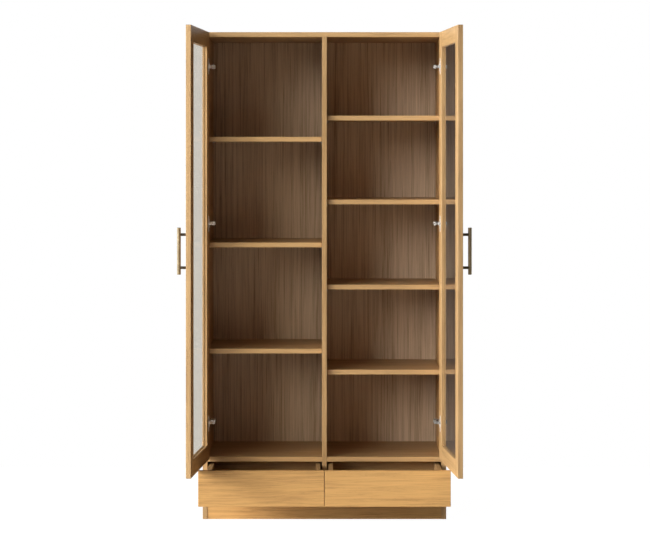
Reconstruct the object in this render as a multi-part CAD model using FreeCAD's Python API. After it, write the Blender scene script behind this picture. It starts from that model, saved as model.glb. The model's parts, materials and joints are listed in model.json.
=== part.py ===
import FreeCAD, Part
import math
import os

# Bookcase with two glazed doors over two drawers.
# Frame: +Z up, the doors and drawers face -Y, +X to the right as one faces the bookcase.
# Origin: on the floor, in the middle of the carcass's footprint. All sizes are in millimetres.
# Every shape is made with its door or drawer shut; doors and drawers are then moved to their rest pose.

# Carcass
WIDTH = 1000.0
HEIGHT = 2000.0
DEPTH = 450.0
BOARD = 20.0
EDGE_BREAK = 1.0
PLINTH_HEIGHT = 90.0
TOE_KICK_RECESS = 2.0
DECK_Z = 236.0
REAR_RAIL_RECESS = 15.0

# Back panel, held in a groove that runs round the carcass
BACK_THICKNESS = 5.0
BACK_RECESS = 8.0
BACK_GROOVE = 6.0

# Adjustable shelves: height of each underside, from the lowest up
LEFT_SHELVES = [678.0, 1115.0, 1550.0]
RIGHT_SHELVES = [591.5, 941.5, 1292.0, 1637.5]
SHELF_FRONT_RECESS = 20.0
SHELF_GAP = 1.0
PIN_RADIUS = 2.5
PIN_DEPTH = 9.0
PIN_INSET = 37.0
PIN_DROP = 5.5
PIN_TIP_GAP = 1.0
PEG_SIDES = 6
SPOON_LENGTH = 10.0
SPOON_WIDTH = 8.0
SPOON_THICKNESS = 2.0
SPOON_PLATE = 1.5

# Doors: frame and panel, hung on concealed cup hinges
DOOR_OPEN = 95.0
DOOR_THICKNESS = 20.0
FRONT_GAP = 3.0
REVEAL = 1.5
DOOR_BOTTOM = 249.0
STILE_WIDTH = 68.0
RAIL_WIDTH = 64.0
GLASS_THICKNESS = 4.0
GLASS_GROOVE = 8.0
GLASS_SEAT = 7.0
SWING_AXIS_X = 488.6
SWING_AXIS_FRONT = 20.0

# Concealed hinges
HINGE_HEIGHTS = [398.0, 1214.0, 1858.0]
CUP_EDGE_DISTANCE = 22.5
CUP_RADIUS = 17.5
CUP_DEPTH = 13.0
CUP_WALL = 0.9
CUP_FLOOR = 1.0
CUP_BORE_GAP = 0.1
FLANGE_RADIUS = 19.5
FLANGE_THICKNESS = 1.0
WING_LENGTH = 66.0
WING_WIDTH = 14.0
WING_OFFSET = 6.0
WING_CORNER = 4.0
PIVOT_X = 457.0
PIVOT_BACK = 1.0
PIVOT_PIN_RADIUS = 1.5
PIVOT_RUNNING_GAP = 0.05
LINK_HALF_WIDTH = 5.0
LINK_THICKNESS = 2.0
LINK_EYE_RADIUS = 2.6
LINK_END_RADIUS = 1.75
LINK_END_ALONG_DOOR = 11.75
LINK_END_IN_CUP = 4.0
LINK_BOW_FROM_PIN = 17.3
LINK_BOW_AHEAD = 16.2
ARM_HALF_WIDTH = 7.0
ARM_SHEET = 1.5
ARM_TOP_X = 451.0
ARM_NOSE_RADIUS = 2.5
ARM_WEB_SETBACK = 2.5
ARM_REAR = 62.0
ARM_REAR_BEVEL = 6.0
ARM_CHEEK = 18.0
ARM_NECK_BACK = 12.0
PLATE_THICKNESS = 2.0
PLATE_HEIGHT = 52.0
PLATE_SETBACK = 37.0
PLATE_WING_WIDTH = 16.0
PLATE_REAR = 58.0
PLATE_CORNER = 4.0
PLATE_FRONT = 18.0
PEDESTAL_HALF_WIDTH = 5.2
PEDESTAL_SETBACK = 5.0

# Handles: a round bar on two posts
HANDLE_HEIGHT = 1124.0
HANDLE_LENGTH = 182.0
HANDLE_BAR_RADIUS = 7.25
HANDLE_HOLE_SPACING = 128.0
HANDLE_POST_RADIUS = 5.5
HANDLE_STANDOFF = 32.0

# Drawers
DRAWER_PULLED = 272.0
DRAWER_FRONT_BOTTOM = 103.5
DRAWER_FRONT_TOP = 246.0
DRAWER_SIDE_GAP = 7.0
DRAWER_BOARD = 18.0
DRAWER_BOX_BOTTOM = 118.0
DRAWER_BOX_TOP = 225.0
DRAWER_BOX_LENGTH = 408.0
DRAWER_PANEL = 8.0
DRAWER_PANEL_Z = 131.0
DRAWER_PANEL_GROOVE = 6.0

# Drawer runners, under the box at each side
RUNNER_LENGTH = 400.0
RUNNER_SETBACK = 4.0
RUNNER_SHEET = 1.5
RUNNER_FLANGE_TOP = 146.0
RUNNER_WEB_Z = 112.0
RUNNER_RAIL_X = 30.0
RUNNER_RAIL_WIDTH = 10.0
RUNNER_RAIL_GAP = 1.5
RUNNER_LIFT_GAP = 0.5
RUNNER_SKIRT_Z = 117.0

# Worked out from the sizes above
HALF = WIDTH / 2
INNER = HALF - BOARD
MID = BOARD / 2
FRONT_Y = -DEPTH / 2
REAR_Y = DEPTH / 2
BACK_Y = REAR_Y - BACK_RECESS - BACK_THICKNESS
FLOOR_Z = PLINTH_HEIGHT + BOARD
TOP_Z = HEIGHT - BOARD
DOOR_TOP = HEIGHT - REVEAL
DOOR_EDGE = HALF - REVEAL
INNER_FACE = FRONT_Y - FRONT_GAP
OUTER_FACE = INNER_FACE - DOOR_THICKNESS
GLASS_FACE = INNER_FACE - (DOOR_THICKNESS - GLASS_THICKNESS) / 2
CUP_X = -DOOR_EDGE + CUP_EDGE_DISTANCE
PIVOT_Y = FRONT_Y + PIVOT_BACK
HANDLE_X = -REVEAL - STILE_WIDTH / 2
BOX_LEFT = -INNER + DRAWER_SIDE_GAP
BOX_RIGHT = -MID - DRAWER_SIDE_GAP

# Working allowances: how near counts as touching, and how far a cutter starts outside the wood
TOUCH = 0.01
CUTTER_START = 1.0

UP = FreeCAD.Vector(0, 0, 1)
RIGHT = FreeCAD.Vector(1, 0, 0)
FORWARDS = FreeCAD.Vector(0, -1, 0)
ORIGIN = FreeCAD.Vector(0, 0, 0)


def block(x0, x1, y0, y1, z0, z1):
    """A plain box between two corners."""
    corner = FreeCAD.Vector(min(x0, x1), min(y0, y1), min(z0, z1))
    return Part.makeBox(abs(x1 - x0), abs(y1 - y0), abs(z1 - z0), corner)


def board(x0, x1, y0, y1, z0, z1, edge_break=EDGE_BREAK):
    """A board whose edges are all broken by a small bevel."""
    solid = block(x0, x1, y0, y1, z0, z1)
    return solid.makeChamfer(edge_break, solid.Edges)


def longest(edges):
    """Those edges that are as long as the longest of them."""
    length = max(e.Length for e in edges)
    return [e for e in edges if e.Length > length - TOUCH]


def shortest(edges):
    """Those edges that are as short as the shortest of them."""
    length = min(e.Length for e in edges)
    return [e for e in edges if e.Length < length + TOUCH]


def front_edged(x0, x1, y0, y1, z0, z1):
    """A board that butts against its neighbours: only its long front edges are broken."""
    solid = block(x0, x1, y0, y1, z0, z1)
    at_front = [e for e in solid.Edges if all(abs(v.Y - y0) < TOUCH for v in e.Vertexes)]
    return solid.makeChamfer(EDGE_BREAK, longest(at_front))


def rod(x, y, z, radius, length, direction):
    """A round bar from a point along a direction."""
    return Part.makeCylinder(radius, length, FreeCAD.Vector(x, y, z), direction)


def mirrored(shape):
    """The same piece for the right-hand side."""
    return shape.mirror(ORIGIN, RIGHT)


def opened(shape):
    """A left door's piece, swung from shut to its rest pose."""
    swung = shape.copy()
    axis_point = FreeCAD.Vector(-SWING_AXIS_X, FRONT_Y - SWING_AXIS_FRONT, 0)
    swung.rotate(axis_point, UP, -DOOR_OPEN)
    return swung


def pulled(shape):
    """A drawer's piece, slid from shut to its rest pose."""
    slid = shape.copy()
    slid.translate(FreeCAD.Vector(0, -DRAWER_PULLED, 0))
    return slid


def prism(points, z0, z1):
    """An upright prism on a closed outline of straight runs."""
    corners = [FreeCAD.Vector(x, y, z0) for x, y in points]
    face = Part.Face(Part.makePolygon(corners + corners[:1]))
    return face.extrude(UP * (z1 - z0))


# ---------------------------------------------------------------- carcass

def shelf_rows():
    """Each shelf's name, bay edges and underside height."""
    rows = []
    for side, heights, x0, x1 in (("left", LEFT_SHELVES, -INNER, -MID), ("right", RIGHT_SHELVES, MID, INNER)):
        for number, z in enumerate(heights, 1):
            rows.append((f"{side}_shelf_{number}", x0, x1, z))
    return rows


def pin_places():
    """Where each shelf pin enters its wall: wall face x, y, shelf underside z, way out of the wall."""
    shelf_front = FRONT_Y + SHELF_FRONT_RECESS
    places = []
    for _, x0, x1, z in shelf_rows():
        for y in (shelf_front + PIN_INSET, BACK_Y - PIN_INSET):
            places.append((x0, y, z, 1))
            places.append((x1, y, z, -1))
    return places


def peg(x, y, z, way, length):
    """The six-sided peg of a shelf pin, from a wall's face into the wall."""
    corners = []
    for side in range(PEG_SIDES):
        turn = (side + 0.5) * 2 * math.pi / PEG_SIDES
        across = FreeCAD.Vector(0, math.cos(turn), math.sin(turn)) * PIN_RADIUS
        corners.append(FreeCAD.Vector(x, y, z - PIN_DROP) + across)
    face = Part.Face(Part.makePolygon(corners + corners[:1]))
    return face.extrude(RIGHT * (-way * length))


def shelf_pin(x, y, z, way):
    """A steel pin whose flat spoon carries the shelf."""
    half = SPOON_WIDTH / 2
    plate = block(x, x + way * SPOON_PLATE, y - half, y + half, z - PIN_DROP - half, z)
    spoon = block(x, x + way * SPOON_LENGTH, y - half, y + half, z - SPOON_THICKNESS, z)
    return peg(x, y, z, way, PIN_DEPTH - PIN_TIP_GAP).fuse([plate, spoon]).removeSplitter()


def back_groove():
    """The space that the back panel's edges take in the boards round it."""
    return block(-INNER - BACK_GROOVE, INNER + BACK_GROOVE, BACK_Y, BACK_Y + BACK_THICKNESS,
                 FLOOR_Z - BACK_GROOVE, TOP_Z + BACK_GROOVE)


def drilled(panel, wall_x):
    """A wall board with the holes for the shelf pins that it carries."""
    holes = [peg(*place, PIN_DEPTH) for place in pin_places() if abs(place[0] - wall_x) < TOUCH]
    return panel.cut(holes)


def side_panel(way):
    """A side, which stands on the floor and takes the back panel's edge."""
    side = board(way * HALF, way * INNER, FRONT_Y, REAR_Y, 0, HEIGHT)
    return drilled(side.cut(back_groove()), way * INNER)


def centre_divider():
    divider = front_edged(-MID, MID, FRONT_Y, BACK_Y, FLOOR_Z, TOP_Z)
    return drilled(drilled(divider, -MID), MID)


def carcass():
    deck_top = DECK_Z + BOARD
    kick_y = FRONT_Y + TOE_KICK_RECESS
    rail_y = REAR_Y - REAR_RAIL_RECESS - BOARD
    top_panel = front_edged(-INNER, INNER, FRONT_Y, REAR_Y, TOP_Z, HEIGHT)
    bottom_panel = front_edged(-INNER, INNER, FRONT_Y, REAR_Y, PLINTH_HEIGHT, FLOOR_Z)
    pieces = {
        "left_side": side_panel(-1),
        "right_side": side_panel(1),
        "centre_divider": centre_divider(),
        "top_panel": top_panel.cut(back_groove()),
        "bottom_panel": bottom_panel.cut(back_groove()),
        "left_deck": front_edged(-INNER, -MID, FRONT_Y, BACK_Y, DECK_Z, deck_top),
        "right_deck": front_edged(MID, INNER, FRONT_Y, BACK_Y, DECK_Z, deck_top),
        "toe_kick": front_edged(-INNER, INNER, kick_y, kick_y + BOARD, 0, PLINTH_HEIGHT),
        "plinth_rear_rail": block(-INNER, INNER, rail_y, rail_y + BOARD, 0, PLINTH_HEIGHT),
        "plinth_centre_rail": block(-MID, MID, kick_y + BOARD, rail_y, 0, PLINTH_HEIGHT),
        "back_panel": back_groove(),
    }
    shelf_front = FRONT_Y + SHELF_FRONT_RECESS
    for name, x0, x1, z in shelf_rows():
        pieces[name] = board(x0 + SHELF_GAP, x1 - SHELF_GAP, shelf_front, BACK_Y - SHELF_GAP, z, z + BOARD)
    pieces["shelf_pins"] = Part.makeCompound([shelf_pin(*p) for p in pin_places()])
    return pieces


# ---------------------------------------------------------------- doors

def door_frame():
    """A left door's four frame members and its pane, shut. Stub tongues on the rails seat in the
    groove that also holds the glass."""
    outer, inner = OUTER_FACE, INNER_FACE
    hinge_inside = -DOOR_EDGE + STILE_WIDTH
    free_inside = -REVEAL - STILE_WIDTH
    top_inside = DOOR_TOP - RAIL_WIDTH
    bottom_inside = DOOR_BOTTOM + RAIL_WIDTH
    groove_y = (GLASS_FACE - GLASS_THICKNESS, GLASS_FACE)
    groove = block(hinge_inside - GLASS_GROOVE, free_inside + GLASS_GROOVE, *groove_y, DOOR_BOTTOM, DOOR_TOP)
    pane_groove = block(hinge_inside - GLASS_GROOVE, free_inside + GLASS_GROOVE, *groove_y,
                        bottom_inside - GLASS_GROOVE, top_inside + GLASS_GROOVE)

    def rail(z0, z1):
        bar = block(hinge_inside, free_inside, outer, inner, z0, z1)
        bar = bar.makeChamfer(EDGE_BREAK, longest(bar.Edges))
        tongue = block(hinge_inside - GLASS_GROOVE, free_inside + GLASS_GROOVE, *groove_y,
                       z0 + EDGE_BREAK, z1 - EDGE_BREAK)
        return bar.fuse(tongue).cut(pane_groove).removeSplitter()

    hinge_stile = board(-DOOR_EDGE, hinge_inside, outer, inner, DOOR_BOTTOM, DOOR_TOP).cut(groove)
    for z in HINGE_HEIGHTS:
        bore = rod(CUP_X, INNER_FACE + CUTTER_START, z, CUP_RADIUS + CUP_BORE_GAP,
                   CUP_DEPTH + CUP_BORE_GAP + CUTTER_START, FORWARDS)
        hinge_stile = hinge_stile.cut(bore)
    free_stile = board(free_inside, -REVEAL, outer, inner, DOOR_BOTTOM, DOOR_TOP).cut(groove)
    glass_inset = GLASS_GROOVE - GLASS_SEAT
    pane = block(hinge_inside - GLASS_SEAT, free_inside + GLASS_SEAT, *groove_y,
                 bottom_inside - GLASS_GROOVE + glass_inset, top_inside + GLASS_GROOVE - glass_inset)
    return {
        "hinge_stile": hinge_stile,
        "free_stile": free_stile,
        "top_rail": rail(top_inside, DOOR_TOP),
        "bottom_rail": rail(DOOR_BOTTOM, bottom_inside),
        "glass": pane,
    }


def handle_bar():
    """The round bar."""
    y = OUTER_FACE - HANDLE_STANDOFF
    return rod(HANDLE_X, y, HANDLE_HEIGHT - HANDLE_LENGTH / 2, HANDLE_BAR_RADIUS, HANDLE_LENGTH, UP)


def handle_posts():
    """Two posts from the door, each with its end shaped to the bar."""
    posts = []
    for way in (-1, 1):
        z = HANDLE_HEIGHT + way * HANDLE_HOLE_SPACING / 2
        stem = rod(HANDLE_X, OUTER_FACE, z, HANDLE_POST_RADIUS, HANDLE_STANDOFF, FORWARDS)
        posts.append(stem.cut(handle_bar()))
    return Part.makeCompound(posts)


# ---------------------------------------------------------------- concealed hinges

def hinge_cup(z):
    """A pressed cup with two screw wings, let into the door's inner face."""
    outer = rod(CUP_X, INNER_FACE, z, CUP_RADIUS, CUP_DEPTH, FORWARDS)
    rim = rod(CUP_X, INNER_FACE + FLANGE_THICKNESS, z, FLANGE_RADIUS, FLANGE_THICKNESS, FORWARDS)
    wing_x = CUP_X + WING_OFFSET
    wing = block(wing_x - WING_WIDTH / 2, wing_x + WING_WIDTH / 2, INNER_FACE, INNER_FACE + FLANGE_THICKNESS,
                 z - WING_LENGTH / 2, z + WING_LENGTH / 2)
    wing = wing.makeChamfer(WING_CORNER, shortest(wing.Edges))
    cavity = rod(CUP_X, INNER_FACE + FLANGE_THICKNESS, z, CUP_RADIUS - CUP_WALL,
                 CUP_DEPTH - CUP_FLOOR + FLANGE_THICKNESS, FORWARDS)
    return outer.fuse([rim, wing]).cut(cavity).removeSplitter()


def link_end():
    """Where a link's free end lies in its cup with the door at rest."""
    mark = Part.Vertex(-DOOR_EDGE + LINK_END_ALONG_DOOR, INNER_FACE - LINK_END_IN_CUP, 0)
    return opened(mark).Point


def hinge_link(z):
    """A bent steel link: an eye on the arm's pin, a straight run, a bow that clears the cup's rim, and
    a rolled end that floats in the cup."""
    base = UP * (z - LINK_HALF_WIDTH)
    eye = FreeCAD.Vector(-PIVOT_X, PIVOT_Y, 0) + base
    end = link_end() + base
    bow = eye + FreeCAD.Vector(-LINK_BOW_FROM_PIN, -LINK_BOW_AHEAD, 0)
    width = 2 * LINK_HALF_WIDTH
    half = LINK_THICKNESS / 2
    radius = bow.distanceToPoint(end)
    reach = bow.distanceToPoint(eye)
    to_eye = math.atan2(eye.y - bow.y, eye.x - bow.x)
    tangent = to_eye - math.acos(radius / reach)
    to_end = math.atan2(end.y - bow.y, end.x - bow.x)
    touch = bow + FreeCAD.Vector(math.cos(tangent), math.sin(tangent), 0) * radius
    ring = Part.makeCylinder(radius + half, width, bow, UP)
    ring = ring.cut(Part.makeCylinder(radius - half, width, bow, UP))
    past_ring = 3 * radius
    wedge = [bow] + [bow + FreeCAD.Vector(math.cos(turn), math.sin(turn), 0) * past_ring
                     for turn in (tangent, to_end)]
    ring = ring.common(prism([(p.x, p.y) for p in wedge], z - LINK_HALF_WIDTH, z + LINK_HALF_WIDTH))
    run = touch - eye
    across = FreeCAD.Vector(-run.y, run.x, 0).normalize() * half
    straight = prism([(p.x, p.y) for p in (eye + across, touch + across, touch - across, eye - across)],
                     z - LINK_HALF_WIDTH, z + LINK_HALF_WIDTH)
    barrel = Part.makeCylinder(LINK_EYE_RADIUS, width, eye, UP)
    roll = Part.makeCylinder(LINK_END_RADIUS, width, end, UP)
    hole = Part.makeCylinder(PIVOT_PIN_RADIUS + PIVOT_RUNNING_GAP, width, eye, UP)
    return straight.fuse([ring, barrel, roll]).cut(hole).removeSplitter()


def hinge_pin(z):
    """The pin between the arm's cheeks that the link turns on."""
    reach = ARM_HALF_WIDTH - ARM_SHEET
    return rod(-PIVOT_X, PIVOT_Y, z - reach, PIVOT_PIN_RADIUS, 2 * reach, UP)


def hinge_arm(z):
    """A channel of sheet steel, its web outwards, whose nose carries the link's pin."""
    top = -ARM_TOP_X
    low = top - ARM_CHEEK
    front = PIVOT_Y + ARM_WEB_SETBACK
    rear = FRONT_Y + ARM_REAR
    z0, z1 = z - ARM_HALF_WIDTH, z + ARM_HALF_WIDTH
    outline = [(top, front), (top, rear - ARM_REAR_BEVEL), (top - ARM_REAR_BEVEL, rear), (low, rear),
               (low, FRONT_Y + PLATE_FRONT), (-PIVOT_X - ARM_NOSE_RADIUS, PIVOT_Y + ARM_NECK_BACK),
               (-PIVOT_X - ARM_NOSE_RADIUS, PIVOT_Y), (-PIVOT_X, PIVOT_Y - ARM_NOSE_RADIUS)]
    nose = rod(-PIVOT_X, PIVOT_Y, z0, ARM_NOSE_RADIUS, 2 * ARM_HALF_WIDTH, UP)
    inside = ARM_HALF_WIDTH - ARM_SHEET
    hollow = block(-HALF, top - ARM_SHEET, FRONT_Y - DOOR_THICKNESS, REAR_Y, z - inside, z + inside)
    return prism(outline, z0, z1).fuse(nose).cut(hollow).removeSplitter()


def hinge_plate(z):
    """A cross-shaped plate screwed to the side, with a pedestal that fills the arm."""
    x0 = -INNER
    wing_y = FRONT_Y + PLATE_SETBACK
    wing = block(x0, x0 + PLATE_THICKNESS, wing_y - PLATE_WING_WIDTH / 2, wing_y + PLATE_WING_WIDTH / 2,
                 z - PLATE_HEIGHT / 2, z + PLATE_HEIGHT / 2)
    wing = wing.makeChamfer(PLATE_CORNER, shortest(wing.Edges))
    foot = block(x0, x0 + PLATE_THICKNESS, FRONT_Y + PLATE_FRONT, FRONT_Y + PLATE_REAR,
                 z - PEDESTAL_HALF_WIDTH, z + PEDESTAL_HALF_WIDTH)
    pedestal = block(x0, -ARM_TOP_X - ARM_SHEET, FRONT_Y + PLATE_FRONT + PEDESTAL_SETBACK,
                     FRONT_Y + PLATE_REAR - PEDESTAL_SETBACK,
                     z - PEDESTAL_HALF_WIDTH, z + PEDESTAL_HALF_WIDTH)
    return wing.fuse([foot, pedestal]).removeSplitter()


# ---------------------------------------------------------------- drawers

def drawer():
    """A left drawer, shut: a front, four box members and a grooved-in bottom."""
    inside_left = BOX_LEFT + DRAWER_BOARD
    inside_right = BOX_RIGHT - DRAWER_BOARD
    rear = INNER_FACE + DRAWER_BOX_LENGTH
    panel_top = DRAWER_PANEL_Z + DRAWER_PANEL
    groove = block(inside_left - DRAWER_PANEL_GROOVE, inside_right + DRAWER_PANEL_GROOVE,
                   INNER_FACE - DRAWER_PANEL_GROOVE, rear, DRAWER_PANEL_Z, panel_top)
    front = board(-HALF, -REVEAL, OUTER_FACE, INNER_FACE, DRAWER_FRONT_BOTTOM, DRAWER_FRONT_TOP)
    outer = block(BOX_LEFT, inside_left, INNER_FACE, rear, DRAWER_BOX_BOTTOM, DRAWER_BOX_TOP)
    inner = block(inside_right, BOX_RIGHT, INNER_FACE, rear, DRAWER_BOX_BOTTOM, DRAWER_BOX_TOP)
    back = block(inside_left, inside_right, rear - DRAWER_BOARD, rear, panel_top, DRAWER_BOX_TOP)
    return {
        "front": front.cut(groove),
        "outer_side": outer.cut(groove),
        "inner_side": inner.cut(groove),
        "back": back,
        "bottom": groove,
    }


def across_drawer(shape):
    """The same piece at the other side of a left drawer."""
    middle = FreeCAD.Vector((BOX_LEFT + BOX_RIGHT) / 2, 0, 0)
    return shape.mirror(middle, RIGHT)


def cabinet_runner():
    """An angle screwed to the carcass, whose foot carries the rail under the drawer."""
    y0 = FRONT_Y + RUNNER_SETBACK
    y1 = y0 + RUNNER_LENGTH
    wall = -INNER
    rail_x = wall + RUNNER_RAIL_X
    rail_top = DRAWER_PANEL_Z - RUNNER_SHEET - RUNNER_LIFT_GAP
    flange = block(wall, wall + RUNNER_SHEET, y0, y1, RUNNER_WEB_Z, RUNNER_FLANGE_TOP)
    web = block(wall, rail_x + RUNNER_RAIL_WIDTH, y0, y1, RUNNER_WEB_Z, RUNNER_WEB_Z + RUNNER_SHEET)
    rail = block(rail_x, rail_x + RUNNER_RAIL_WIDTH, y0, y1, RUNNER_WEB_Z, rail_top)
    hollow = block(rail_x + RUNNER_SHEET, rail_x + RUNNER_RAIL_WIDTH - RUNNER_SHEET, y0, y1,
                   RUNNER_WEB_Z, rail_top - RUNNER_SHEET)
    one = flange.fuse([web, rail]).cut(hollow).removeSplitter()
    return Part.makeCompound([one, across_drawer(one)])


def drawer_runner():
    """An inverted channel under the drawer's bottom, riding over the rail."""
    y0 = FRONT_Y + RUNNER_SETBACK
    rail_x = -INNER + RUNNER_RAIL_X
    x0 = rail_x - RUNNER_RAIL_GAP - RUNNER_SHEET
    x1 = rail_x + RUNNER_RAIL_WIDTH + RUNNER_RAIL_GAP + RUNNER_SHEET
    shell = block(x0, x1, y0, y0 + RUNNER_LENGTH, RUNNER_SKIRT_Z, DRAWER_PANEL_Z)
    hollow = block(x0 + RUNNER_SHEET, x1 - RUNNER_SHEET, y0, y0 + RUNNER_LENGTH,
                   RUNNER_SKIRT_Z, DRAWER_PANEL_Z - RUNNER_SHEET)
    one = shell.cut(hollow)
    return Part.makeCompound([one, across_drawer(one)])


# ---------------------------------------------------------------- the whole bookcase

def main():
    nodes = carcass()

    def add_pair(name, shape):
        nodes["left_" + name] = shape
        nodes["right_" + name] = mirrored(shape)

    frame = door_frame()
    for name, shape in frame.items():
        add_pair(name, opened(shape))
    add_pair("handle_bar", opened(handle_bar()))
    add_pair("handle_posts", opened(handle_posts()))
    add_pair("hinge_cups", opened(Part.makeCompound([hinge_cup(z) for z in HINGE_HEIGHTS])))
    add_pair("hinge_links", Part.makeCompound([hinge_link(z) for z in HINGE_HEIGHTS]))
    for name, make in (("hinge_arms", hinge_arm), ("hinge_plates", hinge_plate), ("hinge_pins", hinge_pin)):
        left = [make(z) for z in HINGE_HEIGHTS]
        nodes[name] = Part.makeCompound(left + [mirrored(s) for s in left])
    for name, shape in drawer().items():
        add_pair("drawer_" + name, pulled(shape))
    add_pair("drawer_runners", pulled(drawer_runner()))
    add_pair("cabinet_runners", cabinet_runner())

    os.makedirs("parts", exist_ok=True)
    for name, shape in nodes.items():
        shape.exportStep(f"parts/{name}.step")
    print(len(nodes), "nodes,", sum(len(s.Solids) for s in nodes.values()), "solids")


main()
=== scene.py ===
"""Dresses a glazed oak bookcase: veneers, glass, handles, the small fittings of its hinges and
drawer runners, and a plain studio round it."""

import json
import math
import random
from typing import NamedTuple

import bmesh
import bpy
from bpy.props import FloatProperty, FloatVectorProperty, IntProperty, PointerProperty
from mathutils import Matrix, Vector


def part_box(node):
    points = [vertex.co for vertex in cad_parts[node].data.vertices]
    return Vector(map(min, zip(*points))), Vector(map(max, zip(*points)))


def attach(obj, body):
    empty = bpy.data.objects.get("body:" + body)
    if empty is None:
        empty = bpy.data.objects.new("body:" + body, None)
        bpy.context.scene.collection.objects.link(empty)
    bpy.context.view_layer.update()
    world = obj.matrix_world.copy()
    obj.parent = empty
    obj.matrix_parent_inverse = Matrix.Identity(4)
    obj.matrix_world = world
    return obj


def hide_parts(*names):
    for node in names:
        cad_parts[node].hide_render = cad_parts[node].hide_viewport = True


bl_info = {
    "name": "Glazed bookcase finish",
    "version": (1, 0, 0),
    "blender": (4, 5, 0),
    "location": "3D View > Sidebar > Bookcase",
    "description": "Finishes and small fittings of an oak bookcase with two glass doors",
    "category": "Object",
}

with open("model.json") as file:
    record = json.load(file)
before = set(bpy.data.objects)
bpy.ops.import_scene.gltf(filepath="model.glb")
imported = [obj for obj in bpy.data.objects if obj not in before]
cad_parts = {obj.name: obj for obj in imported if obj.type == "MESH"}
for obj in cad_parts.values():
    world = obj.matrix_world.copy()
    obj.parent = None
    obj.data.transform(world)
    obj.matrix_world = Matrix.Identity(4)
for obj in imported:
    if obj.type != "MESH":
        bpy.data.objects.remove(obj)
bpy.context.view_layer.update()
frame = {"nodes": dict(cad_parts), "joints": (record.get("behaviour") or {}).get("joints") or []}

SIDES = ("left", "right")
WAY = {"left": -1, "right": 1}
ACROSS, BACKWARDS, UP = Vector((1, 0, 0)), Vector((0, 1, 0)), Vector((0, 0, 1))
WHITE = (1, 1, 1, 1)

# How bright a board's oak is beside its main colour. By painted shade, the left side and the divider
# are darker than the right side, and the left hinge stile is darker than the right one.
UPRIGHT_SHADE_TONES = {"left_side": 0.78, "right_side": 1.0, "centre_divider": 0.84}
HINGE_STILE_SHADE_TONES = {"left": 0.86, "right": 0.95}
FREE_STILE_TONE = 0.92
RAIL_TONE = 0.91
PLINTH_TONE = 0.966
# How a board's grain differs from the doors'.
LEVEL_GRAIN = {"depth": 0.7}
FRONT_GRAIN = {"fineness": 1.5, "straight": 0.8, "depth": 0.85}
BACK_GRAIN = {"fineness": 2.2, "straight": 0.28, "depth": 1.75}
# How bright the runners' steel is beside the zinc of their screws.
RUNNER_TONE = 0.8

# The least height between the solids of two hinges, or of two handle posts.
SOLIDS_APART = 0.1
# The least z of its normal that makes a face an end of an upright piece.
END_FACE = 0.9
SMOOTH_ANGLE = math.radians(35)
# A screw's head: its rim's rounding and its cross's height in shares of the head's height, and the
# cross's length and width in shares of its radius.
RIM_ROUND, CROSS_HEIGHT = 0.45, 1.1
CROSS_LENGTH, CROSS_WIDTH = 1.15, 0.24
# How high a post's collar is crowned, as a share of its width round the post.
COLLAR_CROWN = 0.35
# The thickness of a hinge plate's wings, and how far behind its front its screws stand.
PLATE_WING, PLATE_SCREWS_BEHIND = 0.002, 0.019
# Where the screws of a hinge arm stand, as shares of its depth from the front.
ARM_SCREWS = (0.52, 0.78)
# How far the screws of a hinge cup stand from its middle, towards the door's free edge.
CUP_SCREWS_ASIDE = 0.006
# The thickness of a cabinet runner's sheet.
RUNNER_SHEET = 0.0015

# What the side light is aimed at.
LIGHT_AIM = Vector((0, -0.2, 1.0))
FLOOR_COLOUR = (0.82, 0.78, 0.73, 1)
# As the camera sees it, the floor glows just under white and takes a little shade.
FLOOR_GLOW, FLOOR_SHADE = 0.99, (0.10, 0.10, 0.10, 1)
# The room's panels: degrees round from the front to the left, and height as a sine. The rear panel
# reaches as far round to the right.
PANELS = (
    ("key", (45, 67), (0.12, 0.5)),
    ("core", (51, 61), (0.22, 0.40)),
    ("front", (22, 45), (0.12, 0.5)),
    ("side", (67, 90), (0.12, 0.5)),
    ("low", (45, 90), (-1, 0.12)),
    ("rear", (100, 190), (-1, 0.1)),
    ("right", (-150, -118), (-1, 0.05)),
)
# Half the width of a panel's soft edges, in degrees and as a sine.
SOFT_DEGREES, SOFT_HEIGHT = 2, 0.03
# Between these two values of its y, a direction comes to count as straight behind.
STRAIGHT_BEHIND = (0.975, 0.99)
# Half the width of the change there from what lies at the left to what lies at the right.
SOFT_MIDDLE = 0.03


# ---------------------------------------------------------------- sizes and colours to change

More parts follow.
